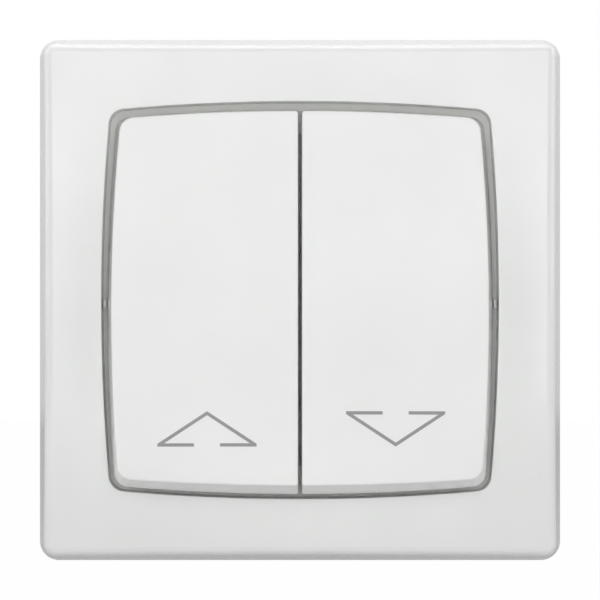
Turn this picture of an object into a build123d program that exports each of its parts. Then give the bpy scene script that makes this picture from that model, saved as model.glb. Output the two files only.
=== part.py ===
from build123d import *
import os
from math import asin, cos, degrees, radians, sin, sqrt, tan

os.makedirs("parts", exist_ok=True)

# Roller shutter switch: a square flush frame round two latching rockers.
# The origin is the centre of the switch on the wall plane. Z is up, X is to
# the right seen from the front, and the front faces -Y. Heights named "out"
# stand out of the wall, towards -Y, and depths run into the wall box, +Y.

# Wall box: the size of everything across the front follows its screws
box_screw_spacing = 60.0

# Cover plate
plate_overhang = 11.0
plate_size = box_screw_spacing + 2 * plate_overhang
plate_corner_radius = 3.0
plate_side_draft = 9.2
plate_wall = 2.0
plate_edge_rounding = 1.5
front_radius = 165.0
front_flat_margin = 2.8
blank_margin = 1.0
lip_rounding = 0.15
collar_wall = 1.6

# Bowed square that the aperture and the rockers share
plate_border = 10.28
aperture_half = plate_size / 2 - plate_border
aperture_corner_radius = 2.4
bow_radius = 320.0

# Rockers, measured across their skirt, with heights from the pivot axis
groove_end_width = 0.82
groove_side_width = 0.93
rocker_half_height = aperture_half - groove_end_width
rocker_half_width = aperture_half - groove_side_width
rocker_corner_radius = 2.4
rocker_inner_corner_radius = 0.5
rocker_top_draft = 8.8
rocker_bottom_draft = 13.0
rocker_side_draft = 13.0
rocker_gap_draft = 1.0
rocker_gap_half = 0.28
rocker_face_height = 3.0
rocker_blank_margin = 0.5
rocker_draft_depth = 1.1
rocker_skirt_depth = 2.5
rocker_ceiling_height = 1.05
rocker_crown_radius = 600.0
rocker_wall = 1.5
rocker_edge_rounding = 0.3
rocker_rib = 1.0
rocker_rib_depth = 1.5
rest_tilt = 6.0

# Toggles under the rockers
toggle_width = 7.8
toggle_length = 25.0
toggle_top = 0.6
toggle_thickness = 2.0
pin_radius = 0.8
pin_reach = 1.7
peg_size = 3.0
peg_z = 9.0
peg_length = 3.6
peg_clearance = 0.05
leg_width = 4.4
leg_thickness = 5.2
leg_reach = 0.1
foot_thickness = 1.6
foot_clearance = 0.15

# Plungers and their springs
plunger_radius = 1.2
plunger_clearance = 0.05
plunger_body = 3.3
plunger_gap = 0.15
bore_end = 2.2
spring_wire = 0.32
spring_turns = 5
spring_gap = 0.7

# Groove ring
ring_out = 4.5
ring_thickness = 1.2
ring_lap = 2.68
ring_half = aperture_half + ring_lap
ring_width = 7.4
ring_opening = ring_half - ring_width
ring_corner_radius = 3.0
ring_floor_clearance = 0.288
nub_width = 0.45
nub_length = 1.1
nub_height = 4.1
foot_pad = 6.0
clip_inset = 0.9
clip_z = 8.0
clip_wall = 1.2
clip_width = 4.0
clip_nose = 0.5
clip_nose_length = 0.7
clip_clearance = 0.15

# Snap fingers that hold the plate on the ring
finger_wall = 1.3
finger_width = 10.0
finger_clearance = 0.3
finger_nose = 0.7
finger_nose_length = 0.6

# Mounting yoke, box-screw slots and claw bearings
yoke_margin = 5.5
yoke_size = box_screw_spacing + 2 * yoke_margin
yoke_thickness = 1.0
yoke_corner_radius = 5.0
slot_width = 4.0
slot_length = 7.0
housing_clearance = 0.4
tab_thickness = 1.0
tab_width = 4.6

# Housing base, which hangs through the yoke
housing_side_room = 10.7
housing_width = box_screw_spacing - 2 * housing_side_room
flange_room = 3.0
flange_height = 2 * (ring_opening - flange_room)
flange_lap = 5.6
housing_height = flange_height - 2 * flange_lap
housing_depth = 22.0
housing_wall = 1.6
flange_thickness = 2.0
housing_corner_radius = 2.0
partition_wall = 1.2
toggle_inset = 5.3
toggle_x = housing_width / 2 - toggle_inset
partition_x = toggle_x / 2

# Rocker carrier
carrier_overhang = 0.7
carrier_width = housing_width + 2 * carrier_overhang
carrier_height = flange_height
carrier_thickness = 1.6
post_thickness = 1.5
post_base = 6.4
post_tip = 3.0
post_rise = 0.6
bearing_clearance = 0.05
bearing_mouth = 1.4
leg_swing_clearance = 0.6
axial_clearance = 0.25

# Body screws
body_screw_inset = 3.3
body_screw_x = housing_width / 2 - body_screw_inset
body_screw_lap = 3.2
body_screw_z = housing_height / 2 + body_screw_lap
body_screw_radius = 1.2
body_screw_clearance = 0.2
screw_head_radius = 2.1
screw_head_height = 1.5
recess_width = 0.7
recess_depth = 0.8

# Contact arms and strips, with depths behind the wall plane
arm_axis_depth = 5.05
arm_thickness = 0.8
arm_width = 5.0
arm_length = 17.0
arm_tilt = 5.0
rivet_inset = 1.5
rivet_z = arm_length / 2 - rivet_inset
rivet_radius = 1.5
rivet_height = 0.8
rivet_shank = 0.7
rivet_head = 1.0
rivet_clearance = 0.03
contact_gap = 0.12
strip_thickness = 0.8
strip_width = 5.0
strip_front_depth = 7.15
strip_step = 3.25
strip_back_depth = strip_front_depth + strip_step
strip_rise = 2.8
strip_top_z = rivet_z + strip_rise
strip_end_gap = 1.0
strip_end_depth = housing_depth - housing_wall - strip_end_gap
strip_flat = 0.65
strip_bend = (strip_step - strip_thickness - strip_flat) / 2
rail_half = 1.2
rail_step_z = -2.5
ridge_gap = 0.1
cheek_thickness = 0.8
cheek_clearance = 0.2
cheek_depth = 4.4
link_lap = 1.25
link_low_z = -rivet_z - link_lap
link_high_z = link_lap - rivet_z
support_width = 3.0
support_height = 2.2

# Push-in wire terminals
wire_radius = 1.4
wire_collar_height = 1.4
wire_collar_wall = 1.1
wire_inset = 4.8
wire_z = wire_inset - housing_height / 2
shelf_rise = 4.4
shelf_z = wire_z + shelf_rise
shelf_thickness = 1.2
clamp_wall = 0.4
clamp_width = 4.0
clamp_bend = 0.5
clamp_inset = 1.8
clamp_knee = 1.4
clamp_front_depth = strip_back_depth + clamp_inset
clamp_back_depth = strip_end_depth - clamp_wall
clamp_slope = 2.0
clamp_tip_depth = clamp_back_depth - clamp_slope
release_width = 3.2
release_height = 1.1
release_rise = 3.7

# Spreading claws
claw_inset = 4.0
claw_pivot_x = box_screw_spacing / 2 - claw_inset
claw_pivot_depth = 4.0
claw_width = 7.4
claw_wall = 1.5
claw_barrel_radius = 1.9
claw_pin_radius = 1.0
claw_leg = 14.5
claw_lever = 6.2
claw_tooth = 1.1
claw_tooth_pitch = 2.2
claw_screw_offset = 3.5
claw_screw_x = claw_pivot_x - claw_screw_offset
claw_screw_radius = 1.6
claw_screw_head_radius = 2.4
claw_screw_head_height = 1.5
claw_screw_gap = 0.2
claw_side_clearance = 0.2
claw_pin_clearance = 0.05


def out_plane(out):
    """A plane parallel to the wall that faces the room, this far out of it."""
    return Plane.XZ.offset(out)


def sag(distance):
    """How far a bowed side has fallen back at this distance from its middle."""
    return bow_radius - sqrt(bow_radius**2 - distance**2)


def bow_corner(half_width, half_height):
    """The corner where two bowed sides meet."""
    x = half_width
    z = half_height
    for _ in range(8):
        x = half_width - sag(z)
        z = half_height - sag(x)
    return x, z


def bowed_square(plane, half, corner_radius):
    """A square with four sides that bow outwards, and rounded corners."""
    x, z = bow_corner(half, half)
    with BuildSketch(plane) as outline:
        with BuildLine():
            ThreePointArc((-x, z), (0, half), (x, z))
            ThreePointArc((x, z), (half, 0), (x, -z))
            ThreePointArc((x, -z), (0, -half), (-x, -z))
            ThreePointArc((-x, -z), (-half, 0), (-x, z))
        make_face()
        fillet(outline.vertices(), corner_radius)
    return outline.sketch


def save(part, name):
    """Label a finished piece and write it as its own file."""
    part.label = name
    export_step(part, f"parts/{name}.step")


# The lip stands just far enough out for the rockers' skirts to clear the ring.
tilt_sin = sin(radians(rest_tilt))
tilt_cos = cos(radians(rest_tilt))
skirt_swing = rocker_half_height * tilt_sin + rocker_skirt_depth * tilt_cos
lip_out = ring_out + ring_floor_clearance + skirt_swing
pivot_out = lip_out


# Cover plate: a shell with drafted sides and a front that falls away to the rim,
# open behind, with a collar round the bowed aperture and four snap fingers that
# grip the groove ring.
front_flat = aperture_half - front_flat_margin
front_fall = front_radius - sqrt(front_radius**2 - front_flat_margin**2)
plate_blank_height = lip_out + blank_margin
inner_size = plate_size - 2 * plate_wall


def front_form(radius):
    """A turned block whose front is flat in the middle and then falls away."""
    apex_out = lip_out + front_fall - front_radius + radius
    fall_angle = degrees(asin((plate_size - front_flat) / radius))
    with BuildPart() as form:
        with BuildSketch(Plane.XY):
            with BuildLine():
                flat = Line((0, -apex_out), (front_flat, -apex_out))
                fall_arc = CenterArc((front_flat, radius - apex_out), radius, 270, fall_angle)
                Polyline(fall_arc @ 1, (front_flat, radius), (0, radius), flat @ 0)
            make_face()
        revolve(axis=Axis.Y)
    return form.part


with BuildPart() as plate_hollow:
    with BuildSketch(out_plane(0)):
        RectangleRounded(inner_size, inner_size, plate_corner_radius - plate_wall / 2)
    extrude(amount=plate_blank_height, taper=plate_side_draft)
    add(front_form(front_radius - plate_wall), mode=Mode.INTERSECT)

finger_r = ring_half + finger_clearance + finger_wall / 2
finger_foot_out = ring_out - ring_thickness - finger_clearance - finger_nose_length

with BuildPart() as cover_plate:
    with BuildSketch(out_plane(0)):
        RectangleRounded(plate_size, plate_size, plate_corner_radius)
    extrude(amount=plate_blank_height, taper=plate_side_draft)
    add(front_form(front_radius), mode=Mode.INTERSECT)
    front = cover_plate.faces().filter_by(GeomType.REVOLUTION).sort_by(Axis.Y)[0]
    fillet(front.outer_wire().edges(), plate_edge_rounding)
    add(plate_hollow.part, mode=Mode.SUBTRACT)
    collar = bowed_square(
        out_plane(ring_out), aperture_half + collar_wall, aperture_corner_radius + collar_wall
    )
    extrude(collar, amount=lip_out - ring_out - plate_wall / 2)
    with BuildSketch(out_plane(finger_foot_out)):
        with PolarLocations(finger_r, 4):
            Rectangle(finger_wall, finger_width)
    extrude(amount=lip_out - plate_wall - finger_foot_out)
    with BuildSketch(out_plane(finger_foot_out)):
        with PolarLocations(finger_r - finger_wall / 2 - finger_nose / 2, 4):
            Rectangle(finger_nose, finger_width)
    extrude(amount=finger_nose_length)
    aperture = bowed_square(out_plane(0), aperture_half, aperture_corner_radius)
    extrude(aperture, amount=plate_blank_height, mode=Mode.SUBTRACT)
    front = cover_plate.faces().filter_by(GeomType.REVOLUTION).sort_by(Axis.Y)[0]
    lip_reach = aperture_half + lip_rounding
    lip = front.edges().filter_by_position(Axis.X, -lip_reach, lip_reach)
    fillet(lip.filter_by_position(Axis.Z, -lip_reach, lip_reach), lip_rounding)
save(cover_plate.part, "cover_plate")


# Groove ring: the grey frame at the foot of the groove. It stands on the yoke
# on four pads, is clipped through it, and carries the plate's snap fingers.
ring_back_out = ring_out - ring_thickness
clip_foot = clip_clearance + clip_nose_length
clip_x = ring_opening + clip_inset

with BuildPart() as groove_ring:
    with BuildSketch(out_plane(ring_back_out)):
        RectangleRounded(2 * ring_half, 2 * ring_half, ring_corner_radius)
        RectangleRounded(2 * ring_opening, 2 * ring_opening, ring_corner_radius, mode=Mode.SUBTRACT)
    extrude(amount=ring_thickness)
    with BuildSketch(out_plane(yoke_thickness)):
        pad_centre = 2 * (ring_half - foot_pad / 2)
        with GridLocations(pad_centre, pad_centre, 2, 2):
            Rectangle(foot_pad, foot_pad)
    extrude(amount=ring_back_out - yoke_thickness)
    with BuildSketch(out_plane(-clip_foot)):
        with GridLocations(2 * clip_x, 2 * clip_z, 2, 2):
            Rectangle(clip_wall, clip_width)
    extrude(amount=ring_back_out + clip_foot)
    with BuildSketch(out_plane(-clip_foot)):
        nose_x = clip_x - clip_wall / 2 - clip_nose / 2
        with GridLocations(2 * nose_x, 2 * clip_z, 2, 2):
            Rectangle(clip_nose, clip_width)
    extrude(amount=clip_nose_length)
    with BuildSketch(out_plane(ring_out)):
        nub_x = (rocker_half_width + aperture_half) / 2
        with Locations((-nub_x, -nub_length / 2), (nub_x, -nub_length / 2)):
            Rectangle(nub_width, nub_length)
    extrude(amount=nub_height)
save(groove_ring.part, "groove_ring")


# Rocker frame: the rockers rest tilted, with their lower edge out.
rocker_plane = Plane(origin=(0, -pivot_out, 0), x_dir=(1, 0, 0), z_dir=(0, -tilt_cos, tilt_sin))
crown_plane = Plane(origin=(0, -pivot_out, 0), x_dir=(1, 0, 0), z_dir=(0, tilt_sin, tilt_cos))
axle_plane = Plane(origin=(0, -pivot_out, 0), x_dir=(0, -tilt_cos, tilt_sin), z_dir=(1, 0, 0))


def rocker_section(side, height, inset):
    """The outline of one rocker at a height above the pivot, or of its hollow."""
    rise = max(height + rocker_draft_depth, 0)
    swing = sqrt(rocker_half_height**2 + rocker_draft_depth**2)
    end_reach = min(rocker_half_height, sqrt(swing**2 - height**2)) - inset
    top = end_reach - rise * tan(radians(rocker_top_draft))
    bottom = end_reach - rise * tan(radians(rocker_bottom_draft))
    half_width = rocker_half_width - rise * tan(radians(rocker_side_draft)) - inset
    gap = rocker_gap_half - (rocker_face_height - height) * tan(radians(rocker_gap_draft)) + inset
    top_x, top_z = bow_corner(half_width, top)
    bottom_x, bottom_z = bow_corner(half_width, bottom)
    middle = (gap + half_width) / 2
    inner_top = (side * gap, top - sag(gap))
    inner_bottom = (side * gap, sag(gap) - bottom)
    outer_top = (side * top_x, top_z)
    outer_bottom = (side * bottom_x, -bottom_z)
    with BuildSketch(rocker_plane.offset(height)) as outline:
        with BuildLine():
            Line(inner_bottom, inner_top)
            ThreePointArc(inner_top, (side * middle, top - sag(middle)), outer_top)
            ThreePointArc(outer_top, (side * half_width, 0), outer_bottom)
            ThreePointArc(outer_bottom, (side * middle, sag(middle) - bottom), inner_bottom)
        make_face()
        corners = outline.vertices().sort_by(Axis.X, reverse=side < 0)
        fillet(corners[:2], rocker_inner_corner_radius)
        fillet(corners[2:], rocker_corner_radius - inset / 2)
    return outline.sketch


# The ribs run midway between the toggle, with its pins, and the rocker's walls.
toggle_inner_x = toggle_x - toggle_width / 2 - pin_reach
toggle_outer_x = toggle_x + toggle_width / 2 + pin_reach
rib_inner_x = (rocker_gap_half + rocker_wall + toggle_inner_x) / 2
rib_outer_x = (rocker_half_width - rocker_wall + toggle_outer_x) / 2
rib_z = (rocker_half_height - rocker_wall + toggle_length / 2) / 2


def make_rocker(side):
    """A rocker cap: drafted walls, a crowned face, ribs and two clip pegs."""
    blank_height = rocker_face_height + rocker_blank_margin
    outside = [-rocker_skirt_depth, -rocker_draft_depth, blank_height]
    inside = [-rocker_skirt_depth, -rocker_draft_depth, rocker_ceiling_height]
    outside_sections = [rocker_section(side, height, 0).face() for height in outside]
    inside_sections = [rocker_section(side, height, rocker_wall).face() for height in inside]
    with BuildPart() as rocker:
        loft(outside_sections, ruled=True)
        with BuildSketch(crown_plane):
            with BuildLine():
                edge_x = plate_size / 2
                edge_drop = edge_x**2 / (2 * rocker_crown_radius)
                crown = ThreePointArc(
                    (-edge_x, edge_drop - rocker_face_height),
                    (0, -rocker_face_height),
                    (edge_x, edge_drop - rocker_face_height),
                )
                Polyline(crown @ 1, (edge_x, pivot_out), (-edge_x, pivot_out), crown @ 0)
            make_face()
        extrude(amount=plate_size / 2, both=True, mode=Mode.INTERSECT)
        face = rocker.faces().sort_by(Axis(rocker_plane.origin, rocker_plane.z_dir))[-1]
        fillet(face.edges(), rocker_edge_rounding)
        loft(inside_sections, ruled=True, mode=Mode.SUBTRACT)
        with BuildSketch(rocker_plane.offset(rocker_ceiling_height - rocker_rib_depth)):
            with Locations((side * rib_inner_x, 0), (side * rib_outer_x, 0)):
                Rectangle(rocker_rib, 2 * (rocker_half_height - 2 * rocker_wall))
            rib_span = rocker_half_width - 2 * rocker_wall
            rib_middle = side * (rib_span / 2 + rocker_wall)
            with Locations((rib_middle, rib_z), (rib_middle, -rib_z)):
                Rectangle(rib_span, rocker_rib)
        extrude(amount=rocker_rib_depth)
        with BuildSketch(rocker_plane.offset(rocker_ceiling_height - peg_length)):
            with Locations((side * toggle_x, peg_z), (side * toggle_x, -peg_z)):
                Rectangle(peg_size, peg_size)
        extrude(amount=peg_length)
    return rocker.part


# The toggle's leg and feet reach down to the carrier, and the plunger's nose
# to the contact arm.
carrier_front_out = yoke_thickness + carrier_thickness
leg_length = pivot_out + leg_reach
foot_z = (toggle_length - foot_thickness) / 2 - peg_clearance
foot_drop = pivot_out - carrier_front_out - foot_clearance
foot_length = (foot_drop - (foot_z + foot_thickness / 2) * tilt_sin) / tilt_cos
plunger_tip = pivot_out + arm_axis_depth - arm_thickness - plunger_gap


def make_toggle(side):
    """A toggle: a pivoted lever with a hollow leg for the sprung plunger."""
    centre = side * toggle_x
    peg_hole = peg_size + 2 * peg_clearance
    with BuildPart() as toggle:
        with BuildSketch(rocker_plane.offset(toggle_top - toggle_thickness)):
            with Locations((centre, 0)):
                Rectangle(toggle_width, toggle_length)
        extrude(amount=toggle_thickness)
        with BuildSketch(rocker_plane.offset(-leg_length)):
            with Locations((centre, 0)):
                Rectangle(leg_width, leg_thickness)
        extrude(amount=leg_length - toggle_thickness / 2)
        with BuildSketch(rocker_plane.offset(-foot_length)):
            with Locations((centre, foot_z), (centre, -foot_z)):
                Rectangle(toggle_width, foot_thickness)
        extrude(amount=foot_length)
        with BuildSketch(axle_plane.offset(centre - toggle_width / 2 - pin_reach)):
            Circle(pin_radius)
        extrude(amount=toggle_width + 2 * pin_reach)
        with BuildSketch(rocker_plane.offset(toggle_top)):
            with Locations((centre, peg_z), (centre, -peg_z)):
                Rectangle(peg_hole, peg_hole)
        extrude(amount=-2 * toggle_thickness, mode=Mode.SUBTRACT)
        with BuildSketch(rocker_plane.offset(-leg_length)):
            with Locations((centre, 0)):
                Circle(plunger_radius + plunger_clearance)
        extrude(amount=leg_length - bore_end, mode=Mode.SUBTRACT)
    return toggle.part


def make_plunger(side):
    """A round-nosed plunger that slides in the toggle's leg."""
    nose_centre = plunger_tip - plunger_radius
    body_top = leg_length - plunger_body
    centre = side * toggle_x
    with BuildPart() as plunger:
        with BuildSketch(Plane(origin=(centre, -pivot_out, 0),
                               x_dir=rocker_plane.z_dir, z_dir=rocker_plane.y_dir)):
            with BuildLine():
                Line((-body_top, 0), (-plunger_tip, 0))
                nose = CenterArc((-nose_centre, 0), plunger_radius, 90, 90)
                Polyline(nose @ 0, (-body_top, plunger_radius), (-body_top, 0))
            make_face()
        axis = Axis((centre, -pivot_out, 0), rocker_plane.z_dir)
        revolve(axis=axis)
    return plunger.part


def make_spring(side):
    """The plunger's compression spring, seated at the top of the bore."""
    room = leg_length - plunger_body - bore_end - spring_gap - 2 * spring_wire
    coil_radius = plunger_radius - spring_wire / 2 - plunger_clearance
    seat = bore_end + spring_wire
    start = rocker_plane.from_local_coords((side * toggle_x, 0, -seat - room))
    with BuildPart() as spring:
        with BuildLine() as coil:
            Helix(room / spring_turns, room, coil_radius, center=start, direction=rocker_plane.z_dir)
        with BuildSketch(Plane(origin=coil.line @ 0, z_dir=coil.line % 0)):
            Circle(spring_wire / 2)
        sweep()
    return spring.part


for side, hand in ((-1, "left"), (1, "right")):
    save(make_rocker(side), f"{hand}_rocker")
    save(make_toggle(side), f"{hand}_toggle")
    save(make_plunger(side), f"{hand}_plunger")
    save(make_spring(side), f"{hand}_plunger_spring")


def yz_plane(x):
    """A plane square to X. Its first axis runs into the wall, its second up."""
    return Plane.YZ.offset(x)


# Mounting yoke: pressed steel, with slots for the box screws, and four tabs
# bent back that carry the pins of the spreading claws.
opening_width = housing_width + 2 * housing_clearance
opening_height = housing_height + 2 * housing_clearance
tab_z = claw_width / 2 + claw_side_clearance + tab_thickness / 2
claw_pin_hole = claw_pin_radius + claw_pin_clearance

with BuildPart() as mounting_yoke:
    with BuildSketch(out_plane(0)):
        RectangleRounded(yoke_size, yoke_size, yoke_corner_radius)
        RectangleRounded(opening_width, opening_height, housing_corner_radius, mode=Mode.SUBTRACT)
        with GridLocations(box_screw_spacing, 0, 2, 1):
            SlotOverall(slot_length, slot_width, mode=Mode.SUBTRACT)
        with GridLocations(0, box_screw_spacing, 1, 2):
            SlotOverall(slot_length, slot_width, rotation=90, mode=Mode.SUBTRACT)
        with GridLocations(2 * body_screw_x, 2 * body_screw_z, 2, 2):
            Circle(body_screw_radius + body_screw_clearance, mode=Mode.SUBTRACT)
        with GridLocations(2 * claw_screw_x, 0, 2, 1):
            Circle(claw_screw_radius + body_screw_clearance, mode=Mode.SUBTRACT)
        clip_hole_width = clip_wall + clip_nose + 2 * clip_clearance
        clip_hole_x = clip_x - clip_nose / 2
        with GridLocations(2 * clip_hole_x, 2 * clip_z, 2, 2):
            Rectangle(clip_hole_width, clip_width + 2 * clip_clearance, mode=Mode.SUBTRACT)
    extrude(amount=yoke_thickness)
    for z in (-tab_z, tab_z):
        with BuildSketch(Plane.XY.offset(z)):
            for x in (-claw_pivot_x, claw_pivot_x):
                with Locations((x, claw_pivot_depth)):
                    Circle(tab_width / 2)
                with Locations((x, (claw_pivot_depth - yoke_thickness) / 2)):
                    Rectangle(tab_width, claw_pivot_depth + yoke_thickness)
                with Locations((x, claw_pivot_depth)):
                    Circle(claw_pin_hole, mode=Mode.SUBTRACT)
        extrude(amount=tab_thickness / 2, both=True)
save(mounting_yoke.part, "mounting_yoke")


# Rocker carrier: the moulded front of the mechanism. Each toggle's pins turn
# in two open bearing posts, and the toggles' legs pass through its windows.
post_x = toggle_width / 2 + axial_clearance + post_thickness / 2
post_foot_out = carrier_front_out
post_top_out = pivot_out + post_rise
window_height = leg_thickness + 2 * (leg_length * tilt_sin + leg_swing_clearance)
window_width = leg_width + 2 * axial_clearance

with BuildPart() as rocker_carrier:
    with BuildSketch(out_plane(yoke_thickness)):
        RectangleRounded(carrier_width, carrier_height, housing_corner_radius)
        with GridLocations(2 * toggle_x, 0, 2, 1):
            Rectangle(window_width, window_height, mode=Mode.SUBTRACT)
        with GridLocations(2 * body_screw_x, 2 * body_screw_z, 2, 2):
            Circle(body_screw_radius + body_screw_clearance, mode=Mode.SUBTRACT)
    extrude(amount=carrier_thickness)
    for x in (-toggle_x - post_x, -toggle_x + post_x, toggle_x - post_x, toggle_x + post_x):
        with BuildSketch(yz_plane(x)):
            with BuildLine():
                Polyline(
                    (-post_foot_out, -post_base / 2),
                    (-post_foot_out, post_base / 2),
                    (-post_top_out, post_tip / 2),
                    (-post_top_out, -post_tip / 2),
                    close=True,
                )
            make_face()
            with Locations((-pivot_out, 0)):
                Circle(pin_radius + bearing_clearance, mode=Mode.SUBTRACT)
            with Locations((-post_top_out, 0)):
                Rectangle(2 * post_rise, bearing_mouth, mode=Mode.SUBTRACT)
        extrude(amount=post_thickness / 2, both=True)
save(rocker_carrier.part, "rocker_carrier")


# Housing base: the moulded socket in the wall box. Its chambers hold the
# contact strips, and three collars at the back lead the wires in. A slot over
# each collar lets a screwdriver press the terminal's spring and free the wire.
inner_width = housing_width - 2 * housing_wall
inner_height = housing_height - 2 * housing_wall
back_wall_depth = housing_depth - housing_wall
terminal_xs = (-toggle_x, 0, toggle_x)

with BuildPart() as housing_base:
    with BuildSketch(out_plane(-housing_depth)):
        RectangleRounded(housing_width, housing_height, housing_corner_radius)
    extrude(amount=housing_depth + yoke_thickness)
    with BuildSketch(out_plane(-flange_thickness)):
        RectangleRounded(housing_width, flange_height, housing_corner_radius)
    extrude(amount=flange_thickness)
    with BuildSketch(out_plane(-back_wall_depth)):
        RectangleRounded(inner_width, inner_height, housing_corner_radius / 2)
    extrude(amount=back_wall_depth + yoke_thickness, mode=Mode.SUBTRACT)
    with BuildSketch(out_plane(-back_wall_depth)):
        with Locations((0, shelf_z + shelf_thickness / 2)):
            Rectangle(inner_width, shelf_thickness)
        with Locations((0, (shelf_z - inner_height / 2) / 2)):
            with GridLocations(2 * partition_x, 0, 2, 1):
                Rectangle(partition_wall, inner_height / 2 + shelf_z)
    extrude(amount=back_wall_depth - strip_back_depth)
    with BuildSketch(out_plane(-back_wall_depth)):
        link_middle_z = (link_low_z + link_high_z) / 2
        with Locations((-partition_x, 0), (-partition_x, link_middle_z), (partition_x, link_middle_z)):
            Rectangle(support_width, support_height)
    extrude(amount=back_wall_depth - strip_front_depth - strip_thickness)
    with BuildSketch(out_plane(-housing_depth - wire_collar_height)):
        with Locations(*[(x, wire_z) for x in terminal_xs]):
            Circle(wire_radius + wire_collar_wall)
    extrude(amount=wire_collar_height)
    with BuildSketch(out_plane(-housing_depth - wire_collar_height)):
        with Locations(*[(x, wire_z) for x in terminal_xs]):
            Circle(wire_radius)
    extrude(amount=wire_collar_height + housing_wall, mode=Mode.SUBTRACT)
    with BuildSketch(out_plane(-housing_depth)):
        with Locations(*[(x, wire_z + release_rise) for x in terminal_xs]):
            Rectangle(release_width, release_height)
    extrude(amount=housing_wall, mode=Mode.SUBTRACT)
    with BuildSketch(out_plane(0)):
        with GridLocations(2 * body_screw_x, 2 * body_screw_z, 2, 2):
            Circle(body_screw_radius + rivet_clearance)
    extrude(amount=-flange_thickness, mode=Mode.SUBTRACT)
save(housing_base.part, "housing_base")


def cross_recess(out):
    """The four-armed recess of a screw head, drawn on the head's face."""
    with BuildSketch(out_plane(out)) as recess:
        Rectangle(recess_width, screw_head_radius)
        Rectangle(screw_head_radius, recess_width)
    return recess.sketch


# Body screws: they clamp the carrier and the housing on the yoke between them.
body_head_out = post_foot_out + screw_head_height

with BuildPart() as body_screws:
    with BuildSketch(out_plane(-flange_thickness)):
        Circle(body_screw_radius)
    extrude(amount=flange_thickness + post_foot_out)
    with BuildSketch(out_plane(post_foot_out)):
        Circle(screw_head_radius)
    extrude(amount=screw_head_height)
    fillet(body_screws.edges().sort_by(Axis.Y)[0], screw_head_height / 3)
    extrude(cross_recess(body_head_out), amount=-recess_depth, mode=Mode.SUBTRACT)
body_screw_places = [(x, 0, z) for x in (-body_screw_x, body_screw_x) for z in (-body_screw_z, body_screw_z)]
with BuildPart() as body_screw_set:
    with Locations(*body_screw_places):
        add(body_screws.part)
save(body_screw_set.part, "body_screws")


# Claw screws: their tips press the claws' levers in, which spreads the claws.
claw_lever_front = claw_pivot_depth - claw_wall / 2
claw_screw_tip = claw_lever_front - claw_screw_gap

with BuildPart() as claw_screw:
    with BuildSketch(out_plane(-claw_screw_tip)):
        Circle(claw_screw_radius)
    extrude(amount=claw_screw_tip + yoke_thickness)
    with BuildSketch(out_plane(yoke_thickness)):
        Circle(claw_screw_head_radius)
    extrude(amount=claw_screw_head_height)
    fillet(claw_screw.edges().sort_by(Axis.Y)[0], claw_screw_head_height / 3)
    extrude(cross_recess(yoke_thickness + claw_screw_head_height), amount=-recess_depth, mode=Mode.SUBTRACT)
with BuildPart() as claw_screw_set:
    with Locations((-claw_screw_x, 0, 0), (claw_screw_x, 0, 0)):
        add(claw_screw.part)
save(claw_screw_set.part, "claw_screws")


# Claw pins, riveted in the yoke's tabs.
with BuildPart() as claw_pins:
    with BuildSketch(Plane.XY.offset(-tab_z - tab_thickness)):
        with Locations((-claw_pivot_x, claw_pivot_depth), (claw_pivot_x, claw_pivot_depth)):
            Circle(claw_pin_radius)
    extrude(amount=2 * (tab_z + tab_thickness))
save(claw_pins.part, "claw_pins")


def make_claw(side):
    """A spreading claw: a barrel on its pin, a toothed leg and a short lever."""
    pivot_x = side * claw_pivot_x
    leg_end = claw_pivot_depth + claw_leg
    leg_face = pivot_x + side * claw_wall / 2
    with BuildPart() as claw:
        with BuildSketch(Plane.XY):
            with Locations((pivot_x, claw_pivot_depth)):
                Circle(claw_barrel_radius)
            with Locations((pivot_x, claw_pivot_depth + claw_leg / 2)):
                Rectangle(claw_wall, claw_leg)
            with Locations((pivot_x - side * claw_lever / 2, claw_pivot_depth)):
                Rectangle(claw_lever, claw_wall)
            for tooth in range(3):
                root = leg_end - tooth * claw_tooth_pitch
                with BuildLine():
                    Polyline(
                        (leg_face, root),
                        (leg_face + side * claw_tooth, root),
                        (leg_face, root - claw_tooth_pitch),
                        close=True,
                    )
                make_face()
            with Locations((pivot_x, claw_pivot_depth)):
                Circle(claw_pin_hole, mode=Mode.SUBTRACT)
        extrude(amount=claw_width / 2, both=True)
    return claw.part


# Arm frame: at rest the plungers hold the lower ends of both arms in.
arm_sin = sin(radians(arm_tilt))
arm_cos = cos(radians(arm_tilt))
arm_plane = Plane(origin=(0, arm_axis_depth, 0), x_dir=(1, 0, 0), z_dir=(0, -arm_cos, -arm_sin))
closed_rivet_depth = arm_axis_depth + rivet_z * arm_sin + rivet_height * arm_cos
closed_rivet_z = rivet_z * arm_cos - rivet_height * arm_sin
fixed_face_depth = closed_rivet_depth + contact_gap
hole_radius = rivet_shank + rivet_clearance


def make_arm(side, rivet_places):
    """A see-saw contact arm with a hole for each of its rivets."""
    with BuildPart() as arm:
        with BuildSketch(arm_plane):
            with Locations((side * toggle_x, 0)):
                SlotOverall(arm_length, arm_width, rotation=90)
            with Locations(*[(side * toggle_x, z) for z in rivet_places]):
                Circle(hole_radius, mode=Mode.SUBTRACT)
        extrude(amount=arm_thickness)
    return arm.part


def make_rivets(plane, places, face_height, carrier_thickness):
    """Contact rivets: a face, a shank through its strip and a riveted head."""
    with BuildPart() as rivets:
        with BuildSketch(plane):
            with Locations(*places):
                Circle(rivet_radius)
        extrude(amount=-face_height)
        with BuildSketch(plane):
            with Locations(*places):
                Circle(rivet_shank)
        extrude(amount=carrier_thickness)
        with BuildSketch(plane.offset(carrier_thickness)):
            with Locations(*places):
                Circle(rivet_head)
        extrude(amount=rivet_height / 2)
    return rivets.part


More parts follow.
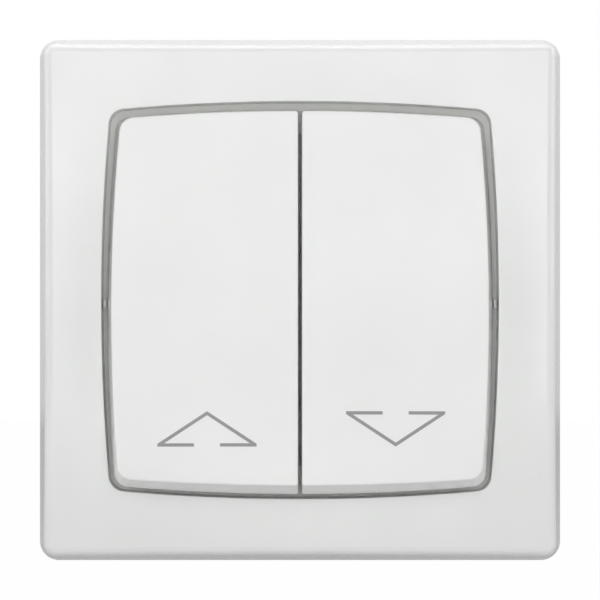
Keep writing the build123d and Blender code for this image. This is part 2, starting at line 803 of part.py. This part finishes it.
def make_strip(x, points, side, holes):
    """A strip bent along a path of depths and heights, centred on x."""
    with BuildPart() as strip:
        with BuildSketch(yz_plane(x - strip_width / 2)):
            with BuildLine():
                FilletPolyline(*points, radius=strip_bend)
                offset(amount=strip_thickness, side=side)
            make_face()
        extrude(amount=strip_width)
        if holes:
            with BuildSketch(out_plane(-strip_front_depth)):
                with Locations(*holes):
                    Circle(hole_radius)
            extrude(amount=-strip_thickness, mode=Mode.SUBTRACT)
    return strip.part


def make_rail(x):
    """The ridge that an arm rocks on, and the two cheeks that guide it."""
    with BuildPart() as rail:
        with BuildSketch(yz_plane(x)):
            with BuildLine():
                Polyline(
                    (strip_front_depth, -rail_half),
                    (strip_front_depth, rail_half),
                    (arm_axis_depth + ridge_gap, 0),
                    close=True,
                )
            make_face()
        extrude(amount=arm_width / 2, both=True)
        cheek_x = arm_width / 2 + cheek_clearance
        with BuildSketch(out_plane(-strip_front_depth - strip_thickness)):
            with Locations((x, 0)):
                with GridLocations(2 * cheek_x + cheek_thickness, 0, 2, 1):
                    Rectangle(cheek_thickness, 2 * rail_half)
        extrude(amount=strip_front_depth + strip_thickness - cheek_depth)
        with BuildSketch(out_plane(-strip_front_depth - strip_thickness)):
            with Locations((x, 0)):
                Rectangle(2 * (cheek_x + cheek_thickness), 2 * rail_half)
        extrude(amount=strip_thickness)
    return rail.part


# Up and down contact strips: from the fixed rivet, round behind the arm and
# down to the push-in terminal.
floor_z = -inner_height / 2
contact_path = [
    (strip_front_depth, closed_rivet_z - rivet_radius - strip_thickness),
    (strip_front_depth, strip_top_z),
    (strip_back_depth, strip_top_z),
    (strip_back_depth, floor_z + strip_thickness),
    (strip_end_depth, floor_z + strip_thickness),
]
for side, name in ((-1, "up"), (1, "down")):
    hole = [(side * toggle_x, closed_rivet_z)]
    strip = make_strip(side * toggle_x, contact_path, Side.RIGHT, hole)
    save(strip, f"{name}_contact_strip")


# Feed rail: from the line terminal in the middle to the ridge of the left arm.
feed_path = [
    (strip_front_depth, rail_half),
    (strip_front_depth, rail_step_z),
    (strip_back_depth - strip_thickness, rail_step_z),
    (strip_back_depth - strip_thickness, floor_z),
    (strip_end_depth, floor_z),
]
feed_leg = make_strip(0, feed_path, Side.LEFT, [])
with BuildPart() as feed_rail:
    add(feed_leg)
    add(make_rail(-toggle_x))
    with BuildSketch(out_plane(-strip_front_depth - strip_thickness)):
        with Locations((-toggle_x / 2, 0)):
            Rectangle(toggle_x, 2 * rail_half)
    extrude(amount=strip_thickness)
save(feed_rail.part, "feed_rail")


# Link strip: it feeds the right arm's ridge from the left arm's rest contact,
# so the right rocker is dead while the left one is pressed.
link_half = toggle_x + strip_width / 2
link_height = link_high_z - link_low_z
with BuildPart() as link_strip:
    add(make_rail(toggle_x))
    with BuildSketch(out_plane(-strip_front_depth - strip_thickness)):
        with Locations((0, (link_low_z + link_high_z) / 2)):
            Rectangle(2 * link_half, link_height)
        with Locations((toggle_x, (link_low_z + rail_half) / 2)):
            Rectangle(strip_width, rail_half - link_low_z)
        with Locations((-toggle_x, -closed_rivet_z)):
            Circle(hole_radius, mode=Mode.SUBTRACT)
    extrude(amount=strip_thickness)
save(link_strip.part, "link_strip")

fixed_places = [(-toggle_x, closed_rivet_z), (toggle_x, closed_rivet_z), (-toggle_x, -closed_rivet_z)]
fixed_plane = Plane(origin=(0, strip_front_depth, 0), x_dir=(1, 0, 0), z_dir=(0, -1, 0))
fixed_face_height = strip_front_depth - fixed_face_depth
with BuildPart() as fixed_rivets:
    with BuildSketch(fixed_plane):
        with Locations(*fixed_places):
            Circle(rivet_radius)
    extrude(amount=fixed_face_height)
    with BuildSketch(fixed_plane):
        with Locations(*fixed_places):
            Circle(rivet_shank)
    extrude(amount=-strip_thickness)
    with BuildSketch(fixed_plane.offset(-strip_thickness)):
        with Locations(*fixed_places):
            Circle(rivet_head)
    extrude(amount=-rivet_height / 2)
save(fixed_rivets.part, "fixed_rivets")


# Terminal springs: bent leaves under the shelf, which hold each wire on its strip.
clamp_path = [
    (clamp_back_depth, shelf_z),
    (clamp_front_depth, shelf_z),
    (clamp_front_depth, shelf_z - clamp_knee),
    (clamp_tip_depth, wire_z - clamp_knee),
]
with BuildPart() as terminal_springs:
    for x in terminal_xs:
        with BuildSketch(yz_plane(x - clamp_width / 2)):
            with BuildLine():
                FilletPolyline(*clamp_path, radius=clamp_bend)
                offset(amount=clamp_wall, side=Side.LEFT)
            make_face()
        extrude(amount=clamp_width)
save(terminal_springs.part, "terminal_springs")

for side, hand, rivet_places in ((-1, "left", (rivet_z, -rivet_z)), (1, "right", (rivet_z,))):
    places = [(side * toggle_x, z) for z in rivet_places]
    save(make_arm(side, rivet_places), f"{hand}_contact_arm")
    save(make_rivets(arm_plane, places, rivet_height, arm_thickness), f"{hand}_arm_rivets")
    save(make_claw(side), f"{hand}_claw")
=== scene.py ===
import bmesh
import bpy
from math import atan2, cos, pi, radians, sin, sqrt, tan
from mathutils import Matrix, Vector


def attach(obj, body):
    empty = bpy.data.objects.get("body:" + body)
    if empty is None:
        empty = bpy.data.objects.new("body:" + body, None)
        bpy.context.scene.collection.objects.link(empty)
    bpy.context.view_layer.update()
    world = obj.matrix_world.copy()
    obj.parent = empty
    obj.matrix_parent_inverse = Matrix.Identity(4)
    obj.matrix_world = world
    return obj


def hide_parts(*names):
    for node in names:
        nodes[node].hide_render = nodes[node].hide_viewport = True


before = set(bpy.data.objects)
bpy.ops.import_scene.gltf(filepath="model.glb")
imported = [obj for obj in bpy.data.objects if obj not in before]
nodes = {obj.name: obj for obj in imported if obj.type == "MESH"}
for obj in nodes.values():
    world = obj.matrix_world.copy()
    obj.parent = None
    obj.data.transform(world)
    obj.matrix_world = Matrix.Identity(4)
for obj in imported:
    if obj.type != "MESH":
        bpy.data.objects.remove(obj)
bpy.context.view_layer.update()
mm = 0.001


# Cover plate: the square frame round the rockers, one moulding of white
# thermoplastic with a satin gloss. It snaps on the grey ring with four fingers.
pattern_low = 0.3
pattern_high = 0.7
white_tones = ((0.77, 0.78, 0.77), (0.80, 0.81, 0.80))
white_gloss = 0.18
white_grain = 0.002 * mm


def new_material(name):
    """A node material, with its node tree, its shader and the place on the piece."""
    material = bpy.data.materials.new(name)
    material.use_nodes = True
    tree = material.node_tree
    shader = tree.nodes["Principled BSDF"]
    place = tree.nodes.new("ShaderNodeTexCoord")
    return material, tree, shader, place.outputs["Object"]


def noise(tree, place, scale, detail=3.0, roughness=0.5):
    """A noise pattern on the piece, with its scale in waves per metre."""
    pattern = tree.nodes.new("ShaderNodeTexNoise")
    pattern.inputs["Scale"].default_value = scale
    pattern.inputs["Detail"].default_value = detail
    pattern.inputs["Roughness"].default_value = roughness
    tree.links.new(place, pattern.inputs["Vector"])
    return pattern.outputs["Fac"]


def spread(tree, fac, low, high, socket):
    """Sends a pattern, spread between two values, to one socket of a shader."""
    ramp = tree.nodes.new("ShaderNodeMapRange")
    ramp.inputs["From Min"].default_value = pattern_low
    ramp.inputs["From Max"].default_value = pattern_high
    ramp.inputs["To Min"].default_value = low
    ramp.inputs["To Max"].default_value = high
    tree.links.new(fac, ramp.inputs["Value"])
    tree.links.new(ramp.outputs["Result"], socket)


def tint(tree, fac, tones, shader):
    """Varies the base colour of a finish between a darker and a lighter tone."""
    ramp = tree.nodes.new("ShaderNodeValToRGB")
    ends = ramp.color_ramp.elements
    for end, position, tone in zip(ends, (pattern_low, pattern_high), tones):
        end.position = position
        end.color = (*tone, 1)
    tree.links.new(fac, ramp.inputs["Fac"])
    tree.links.new(ramp.outputs["Color"], shader.inputs["Base Color"])


def grain(tree, fac, depth, shader):
    """Raises a pattern on the surface by a real depth in metres."""
    bump = tree.nodes.new("ShaderNodeBump")
    bump.inputs["Strength"].default_value = 1.0
    bump.inputs["Distance"].default_value = depth
    tree.links.new(fac, bump.inputs["Height"])
    tree.links.new(bump.outputs["Normal"], shader.inputs["Normal"])


def moulded_plastic(name, tones, gloss, grain_depth):
    """A moulded plastic: a slow drift of tone and a fine, shallow orange peel."""
    material, tree, shader, place = new_material(name)
    tint(tree, noise(tree, place, scale=60), tones, shader)
    spread(tree, noise(tree, place, scale=900), gloss - 0.03, gloss + 0.03, shader.inputs["Roughness"])
    grain(tree, noise(tree, place, scale=2600, detail=2.0), grain_depth, shader)
    shader.inputs["IOR"].default_value = 1.58
    return material


def dress(material, *names):
    """Gives CAD nodes their finish."""
    for name in names:
        for slot in nodes[name].material_slots:
            slot.material = material


frame_white = moulded_plastic("frame_white", white_tones, white_gloss, white_grain)
dress(frame_white, "cover_plate")


# Rockers: two caps of the same white plastic, clipped on the toggles with pegs. Their
# lower ends stand out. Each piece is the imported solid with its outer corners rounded.
pivot_out = 10.4 * mm
rest_tilt = radians(6)
rocker_half_height = 29.9 * mm
rocker_half_width = 29.79 * mm
skirt_depth = 2.5 * mm
draft_depth = 1.1 * mm
face_height = 3.0 * mm
blank_height = 3.5 * mm
top_draft = radians(8.8)
lower_draft = radians(13)
bow_radius = 320 * mm
crown_radius = 600 * mm
corner_radius = 2.4 * mm
edge_rounding = 0.3 * mm
corner_steps = 12
edge_steps = 3
smooth_angle = radians(35)
weld = 0.0005 * mm
rocker_white = moulded_plastic("rocker_white", white_tones, white_gloss, white_grain)
rocker_frame = Matrix.Translation((0, -pivot_out, 0)) @ Matrix.Rotation(pi / 2 - rest_tilt, 4, "X")


def finish_piece(bm, name, body, material):
    """Turns a bmesh into a piece of the scene that rides on a body."""
    mesh = bpy.data.meshes.new(name)
    bmesh.ops.recalc_face_normals(bm, faces=bm.faces[:])
    bm.to_mesh(mesh)
    bm.free()
    piece = bpy.data.objects.new(name, mesh)
    bpy.context.scene.collection.objects.link(piece)
    mesh.materials.append(material)
    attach(piece, body)
    return piece


def corner_at(height, end_draft):
    """The centres of the side's bow, the end's bow and the round corner between them."""
    rise = max(height + draft_depth, 0)
    reach = min(rocker_half_height, sqrt(rocker_half_height**2 + draft_depth**2 - height**2))
    side = Vector((rocker_half_width - rise * tan(lower_draft) - bow_radius, 0, height))
    end = Vector((0, reach - rise * tan(end_draft) - bow_radius, height))
    middle = (side + end) / 2
    out = (end - side).cross(Vector((0, 0, -1))).normalized()
    reach_out = sqrt((bow_radius - corner_radius)**2 - (end - middle).length_squared)
    return side, end, middle + out * reach_out


def corner_planes(end_draft):
    """Planes that touch the round corner and its softened edge, as points and normals."""
    planes = []
    for low, high in ((-skirt_depth, -draft_depth), (-draft_depth, blank_height)):
        side, end, centre = corner_at(low, end_draft)
        ruling = (corner_at(high, end_draft)[2] - centre) / (high - low)
        start = atan2((centre - side).y, (centre - side).x)
        stop = atan2((centre - end).y, (centre - end).x)
        for step in range(corner_steps):
            angle = start + (stop - start) * (step + 0.5) / corner_steps
            along = Vector((-sin(angle), cos(angle), 0))
            wall = along.cross(ruling).normalized()
            foot = centre + corner_radius * Vector((cos(angle), sin(angle), 0))
            planes.append((foot, wall))
            if high == blank_height:
                x = (foot + ruling * (face_height - low)).x
                crown = Vector((x / crown_radius, 0, 1)).normalized()
                on_crown = Vector((x, 0, face_height - x**2 / (2 * crown_radius)))
                from_wall = wall.dot(foot) - edge_rounding
                from_crown = crown.dot(on_crown) - edge_rounding
                distances = Vector((from_wall, from_crown, along.dot(foot)))
                core = Matrix((wall, crown, along)).inverted() @ distances
                for part in range(edge_steps):
                    normal = wall.slerp(crown, (part + 0.5) / edge_steps)
                    planes.append((core + edge_rounding * normal, normal))
    return planes


def rounded_rocker(name, node, body, side):
    """The solid of a rocker, trimmed by those planes at its two outer corners."""
    bm = bmesh.new()
    bm.from_mesh(nodes[node].data)
    bmesh.ops.remove_doubles(bm, verts=bm.verts[:], dist=weld)
    enlarged = Matrix.Scale(1 / mm, 4) @ rocker_frame.inverted()
    bmesh.ops.transform(bm, verts=bm.verts[:], matrix=enlarged)
    for end, end_draft in ((1, top_draft), (-1, lower_draft)):
        mirror = Matrix.Diagonal((side, end, 1))
        for point, normal in corner_planes(end_draft):
            trimmed = bmesh.ops.bisect_plane(
                bm, geom=bm.verts[:] + bm.edges[:] + bm.faces[:], dist=weld / mm,
                plane_co=mirror @ point / mm, plane_no=mirror @ normal, clear_outer=True,
            )
            cut_edges = [e for e in trimmed["geom_cut"] if isinstance(e, bmesh.types.BMEdge)]
            bmesh.ops.edgeloop_fill(bm, edges=[e for e in cut_edges if e.is_boundary])
    bmesh.ops.transform(bm, verts=bm.verts[:], matrix=enlarged.inverted())
    cap = finish_piece(bm, name, body, rocker_white)
    cap.data.shade_smooth()
    cap.data.set_sharp_from_angle(angle=smooth_angle)
    normals = cap.modifiers.new("flat_faces_lead", "WEIGHTED_NORMAL")
    normals.keep_sharp = True
    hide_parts(node)


rounded_rocker("left_rocker_cap", "left_rocker", "left_rocker_body", -1)
rounded_rocker("right_rocker_cap", "right_rocker", "right_rocker_body", 1)


# Arrows: open triangles of grey pad-printing ink on the lower part of each
# rocker's face, up on the left rocker and down on the right one.
arrow_stroke = 0.51 * mm
arrow_height = 5.42 * mm
arrow_point_half = 8.26 * mm
arrow_half = 7.6 * mm
arrow_gap_half = 1.99 * mm
arrow_foot = -22.83 * mm
up_arrow_x = -14.23 * mm
down_arrow_x = 14.63 * mm
ink_thickness = 0.015 * mm
ink_strip = 1.0 * mm
ink_tones = ((0.27, 0.27, 0.27), (0.295, 0.295, 0.295))

ink, tree, shader, place = new_material("arrow_ink")
tint(tree, noise(tree, place, scale=700), ink_tones, shader)
spread(tree, noise(tree, place, scale=4000), 0.42, 0.5, shader.inputs["Roughness"])


def cut(bm, x, clear_left=False, clear_right=False):
    """Cuts a flat shape at x, and drops one side if asked."""
    bmesh.ops.bisect_plane(
        bm, geom=bm.verts[:] + bm.edges[:] + bm.faces[:], plane_co=(x, 0, 0), plane_no=(1, 0, 0),
        clear_inner=clear_left, clear_outer=clear_right,
    )


def printed_arrow(name, body, centre_x, points_up):
    """One arrow: a triangle's outline, its base open in the middle."""
    bm = bmesh.new()
    tip = arrow_height / 2 if points_up else -arrow_height / 2
    points = ((-arrow_point_half, -tip, 0), (arrow_point_half, -tip, 0), (0, tip, 0))
    face = bm.faces.new([bm.verts.new(point) for point in points])
    bm.normal_update()
    bmesh.ops.inset_region(bm, faces=[face], thickness=arrow_stroke, use_boundary=True, use_even_offset=True)
    bmesh.ops.delete(bm, geom=[face], context="FACES")
    cut(bm, -arrow_half, clear_left=True)
    cut(bm, arrow_half, clear_right=True)
    cut(bm, -arrow_gap_half)
    cut(bm, arrow_gap_half)
    in_gap = [
        f for f in bm.faces
        if abs(f.calc_center_median().x) < arrow_gap_half and f.calc_center_median().y * tip < 0
    ]
    bmesh.ops.delete(bm, geom=in_gap, context="FACES")
    strips = int(arrow_half / ink_strip)
    for step in range(-strips, strips + 1):
        cut(bm, step * ink_strip)
    raised = bmesh.ops.extrude_face_region(bm, geom=bm.faces[:])
    top = [v for v in raised["geom"] if isinstance(v, bmesh.types.BMVert)]
    bmesh.ops.translate(bm, verts=top, vec=(0, 0, ink_thickness))
    centre_z = arrow_foot + arrow_height / 2
    bmesh.ops.translate(bm, verts=bm.verts[:], vec=(centre_x, centre_z, 0))
    for v in bm.verts:
        v.co.z += face_height - v.co.x**2 / (2 * crown_radius)
    bmesh.ops.transform(bm, verts=bm.verts[:], matrix=rocker_frame)
    finish_piece(bm, name, body, ink)


printed_arrow("up_arrow_print", "left_rocker_body", up_arrow_x, True)
printed_arrow("down_arrow_print", "right_rocker_body", down_arrow_x, False)


# Groove ring: the light grey frame that shows at the foot of the groove. It is
# moulded, matt, clipped through the yoke, and holds the cover plate's fingers.
grey_tones = ((0.86, 0.86, 0.83), (0.89, 0.89, 0.86))
groove_grey = moulded_plastic("groove_grey", grey_tones, gloss=0.5, grain_depth=0.006 * mm)
dress(groove_grey, "groove_ring")

# Its two nubs stand up in the groove, half way down the sides, with painted shade: their tops are coloured
# darker to match the shaded groove.
nub_foot = -5.0 * mm
nub_blend = 0.1 * mm
nub_painted_shade = 0.7
tree = groove_grey.node_tree
shader = tree.nodes["Principled BSDF"]
ring_tone = shader.inputs["Base Color"].links[0].from_socket
axes = tree.nodes.new("ShaderNodeSeparateXYZ")
tree.links.new(tree.nodes["Texture Coordinate"].outputs["Object"], axes.inputs["Vector"])
# painted shade: where the ring stands out in front of nub_foot, on the nubs' tops, its colour is scaled down
# to 0.7
share = tree.nodes.new("ShaderNodeMapRange")
share.inputs["From Min"].default_value = nub_foot - nub_blend
share.inputs["From Max"].default_value = nub_foot
share.inputs["To Min"].default_value = nub_painted_shade
share.inputs["To Max"].default_value = 1.0
tree.links.new(axes.outputs["Y"], share.inputs["Value"])
tone = tree.nodes.new("ShaderNodeVectorMath")
tone.operation = "SCALE"
tree.links.new(ring_tone, tone.inputs["Vector"])
tree.links.new(share.outputs["Result"], tone.inputs["Scale"])
tree.links.new(tone.outputs["Vector"], shader.inputs["Base Color"])


# Yoke, claws, pins and screws: pressed and turned steel with a bright zinc
# plating. The yoke sits on the wall, and the claws spread in the wall box.
def plated_steel(name, tones, gloss, stretch):
    """Zinc-plated steel: a metal with a soft mottle and faint rolling lines."""
    material, tree, shader, place = new_material(name)
    tint(tree, noise(tree, place, scale=500, detail=4.0), tones, shader)
    spread(tree, noise(tree, place, scale=1500), gloss - 0.06, gloss + 0.08, shader.inputs["Roughness"])
    lines = tree.nodes.new("ShaderNodeMapping")
    lines.inputs["Scale"].default_value = (1, 1, stretch)
    tree.links.new(place, lines.inputs["Vector"])
    grain(tree, noise(tree, lines.outputs["Vector"], scale=200, detail=2.0), 0.003 * mm, shader)
    shader.inputs["Metallic"].default_value = 1.0
    return material


sheet_tones = ((0.58, 0.59, 0.60), (0.68, 0.69, 0.70))
turned_tones = ((0.6, 0.61, 0.62), (0.7, 0.71, 0.72))
zinc_sheet = plated_steel("zinc_sheet", sheet_tones, gloss=0.36, stretch=20)
zinc_turned = plated_steel("zinc_turned", turned_tones, gloss=0.28, stretch=1)
dress(zinc_sheet, "mounting_yoke", "left_claw", "right_claw")
dress(zinc_turned, "body_screws", "claw_screws", "claw_pins")


# Carrier, housing and plungers: matt off-white thermoset, screwed together on
# the yoke. The toggles are a softer white plastic and turn on moulded pins.
thermoset_tones = ((0.74, 0.74, 0.71), (0.78, 0.78, 0.75))
toggle_tones = ((0.72, 0.73, 0.72), (0.75, 0.76, 0.75))
thermoset = moulded_plastic("thermoset", thermoset_tones, gloss=0.55, grain_depth=0.009 * mm)
toggle_white = moulded_plastic("toggle_white", toggle_tones, gloss=0.4, grain_depth=0.005 * mm)
dress(thermoset, "rocker_carrier", "housing_base", "left_plunger", "right_plunger")
dress(toggle_white, "left_toggle", "right_toggle")


# Contact set: stamped brass strips and arms with silver alloy rivets, and
# spring steel for the plunger springs and the leaves that clamp the wires.
def bare_metal(name, tones, gloss):
    """A bare stamped metal with a little tarnish."""
    material, tree, shader, place = new_material(name)
    tint(tree, noise(tree, place, scale=350, detail=5.0), tones, shader)
    spread(tree, noise(tree, place, scale=1200), gloss - 0.05, gloss + 0.08, shader.inputs["Roughness"])
    grain(tree, noise(tree, place, scale=3000, detail=2.0), 0.002 * mm, shader)
    shader.inputs["Metallic"].default_value = 1.0
    return material


brass = bare_metal("brass", tones=((0.62, 0.45, 0.2), (0.75, 0.57, 0.28)), gloss=0.28)
silver = bare_metal("silver_alloy", tones=((0.74, 0.73, 0.70), (0.82, 0.81, 0.79)), gloss=0.22)
spring_steel = bare_metal("spring_steel", tones=((0.42, 0.42, 0.43), (0.52, 0.52, 0.53)), gloss=0.25)
dress(brass, "feed_rail", "link_strip", "up_contact_strip", "down_contact_strip")
dress(brass, "left_contact_arm", "right_contact_arm")
dress(silver, "fixed_rivets", "left_arm_rivets", "right_arm_rivets")
dress(spring_steel, "left_plunger_spring", "right_plunger_spring", "terminal_springs")


# Floor: a plain pale sheet under the switch, almost white to the camera, which
# sees only a trace of the switch's shadow on it.
floor_height = -75 * mm
floor_half = 1.5
paper_white = 0.45
glow_share = 0.985
bm = bmesh.new()
bmesh.ops.create_grid(bm, x_segments=1, y_segments=1, size=floor_half)
bmesh.ops.translate(bm, verts=bm.verts[:], vec=(0, 0, floor_height))
floor_mesh = bpy.data.meshes.new("floor")
bm.to_mesh(floor_mesh)
bm.free()
floor = bpy.data.objects.new("floor", floor_mesh)
bpy.context.scene.collection.objects.link(floor)

paper, tree, shader, place = new_material("white_paper")
shader.inputs["Base Color"].default_value = (paper_white, paper_white, paper_white, 1)
shader.inputs["Roughness"].default_value = 0.9
glow = tree.nodes.new("ShaderNodeEmission")
glow.inputs["Strength"].default_value = 1.0
path = tree.nodes.new("ShaderNodeLightPath")
share = tree.nodes.new("ShaderNodeMath")
share.operation = "MULTIPLY"
share.inputs[1].default_value = glow_share
mix = tree.nodes.new("ShaderNodeMixShader")
tree.links.new(path.outputs["Is Camera Ray"], share.inputs[0])
tree.links.new(share.outputs["Value"], mix.inputs["Fac"])
tree.links.new(shader.outputs["BSDF"], mix.inputs[1])
tree.links.new(glow.outputs["Emission"], mix.inputs[2])
tree.links.new(mix.outputs["Shader"], tree.nodes["Material Output"].inputs["Surface"])
floor_mesh.materials.append(paper)


# Studio: a tent that is dim in front and white behind, soft lamps overhead and on
# both sides, and banks of soft light round a dark place where the camera stands.
world = bpy.data.worlds.new("tent")
bpy.context.scene.world = world
world.use_nodes = True
tree = world.node_tree
tree.nodes.clear()
direction = tree.nodes.new("ShaderNodeTexCoord")
axes = tree.nodes.new("ShaderNodeSeparateXYZ")
tree.links.new(direction.outputs["Generated"], axes.inputs["Vector"])


def level_along(axis, start, end, low, high):
    """A smooth change of level from one end to the other along an axis of the tent."""
    step = tree.nodes.new("ShaderNodeMapRange")
    step.interpolation_type = "SMOOTHSTEP"
    step.inputs["From Min"].default_value = start
    step.inputs["From Max"].default_value = end
    step.inputs["To Min"].default_value = low
    step.inputs["To Max"].default_value = high
    tree.links.new(axes.outputs[axis], step.inputs["Value"])
    return step.outputs["Result"]


both = tree.nodes.new("ShaderNodeMath")
both.operation = "MULTIPLY"
tree.links.new(level_along("Z", start=-1.0, end=1.0, low=0.0, high=1.15), both.inputs[0])
tree.links.new(level_along("Y", start=-0.1, end=0.2, low=0.08, high=1.0), both.inputs[1])
tent = tree.nodes.new("ShaderNodeBackground")
tent.inputs["Color"].default_value = (1, 1, 1, 1)
tree.links.new(both.outputs["Value"], tent.inputs["Strength"])
plain = tree.nodes.new("ShaderNodeBackground")
plain.inputs["Color"].default_value = (1, 1, 1, 1)
plain.inputs["Strength"].default_value = 1.0
path = tree.nodes.new("ShaderNodeLightPath")
mix = tree.nodes.new("ShaderNodeMixShader")
out = tree.nodes.new("ShaderNodeOutputWorld")
tree.links.new(path.outputs["Is Camera Ray"], mix.inputs["Fac"])
tree.links.new(tent.outputs["Background"], mix.inputs[1])
tree.links.new(plain.outputs["Background"], mix.inputs[2])
tree.links.new(mix.outputs["Shader"], out.inputs["Surface"])


def softbox(name, place, width, height, power):
    """A rectangular area lamp that faces the switch."""
    light = bpy.data.lights.new(name, "AREA")
    light.shape = "RECTANGLE"
    light.size = width
    light.size_y = height
    light.energy = power
    lamp = bpy.data.objects.new(name, light)
    bpy.context.scene.collection.objects.link(lamp)
    lamp.location = place
    lamp.rotation_euler = (-Vector(place)).to_track_quat("-Z", "Y").to_euler()
    return lamp


def bank(name, x, z, width, height, level):
    """A lamp beside the camera that shines straight at the wall at this level."""
    lamp = softbox(name, (x, bank_y, z), width, height, level * pi * width * height)
    lamp.rotation_euler = (pi / 2, 0, 0)


bank_y = -0.53
softbox("overhead", (0, -0.03, 0.7), width=0.7, height=0.4, power=1.85)
softbox("left_side", (-0.65, -0.05, 0.23), width=0.6, height=0.5, power=1.2)
softbox("right_side", (0.65, -0.05, 0.23), width=0.6, height=0.5, power=1.1)
bank("upper_near", x=0, z=0.08, width=0.3, height=0.08, level=1.4)
bank("upper_far", x=0, z=0.26, width=0.5, height=0.28, level=1.95)
bank("left_bank", x=-0.205, z=0.035, width=0.13, height=0.19, level=3.3)
bank("right_bank", x=0.205, z=0.035, width=0.13, height=0.19, level=3.3)
front_fill = softbox("front_fill", (0, -0.6, 0), width=0.12, height=0.12, power=0.84)
front_fill.visible_glossy = False


# Camera: square on to the front, half a metre from the frame's lip, with a
# long lens, so that the frame fills the picture as it does in the photograph.
camera_distance = 500 * mm
plate_half = 41 * mm
plate_half_pixels = 260
picture_pixels = 600
sensor = 36.0
camera_data = bpy.data.cameras.new("camera")
camera = bpy.data.objects.new("camera", camera_data)
bpy.context.scene.collection.objects.link(camera)
camera.location = (0, -pivot_out - camera_distance, 0)
camera.rotation_euler = (pi / 2, 0, 0)
camera_data.sensor_width = sensor
camera_data.lens = sensor * plate_half_pixels / picture_pixels * (pivot_out + camera_distance) / plate_half
camera_data.clip_start = 0.01
bpy.context.scene.camera = camera
bpy.context.scene.view_settings.view_transform = "Standard"
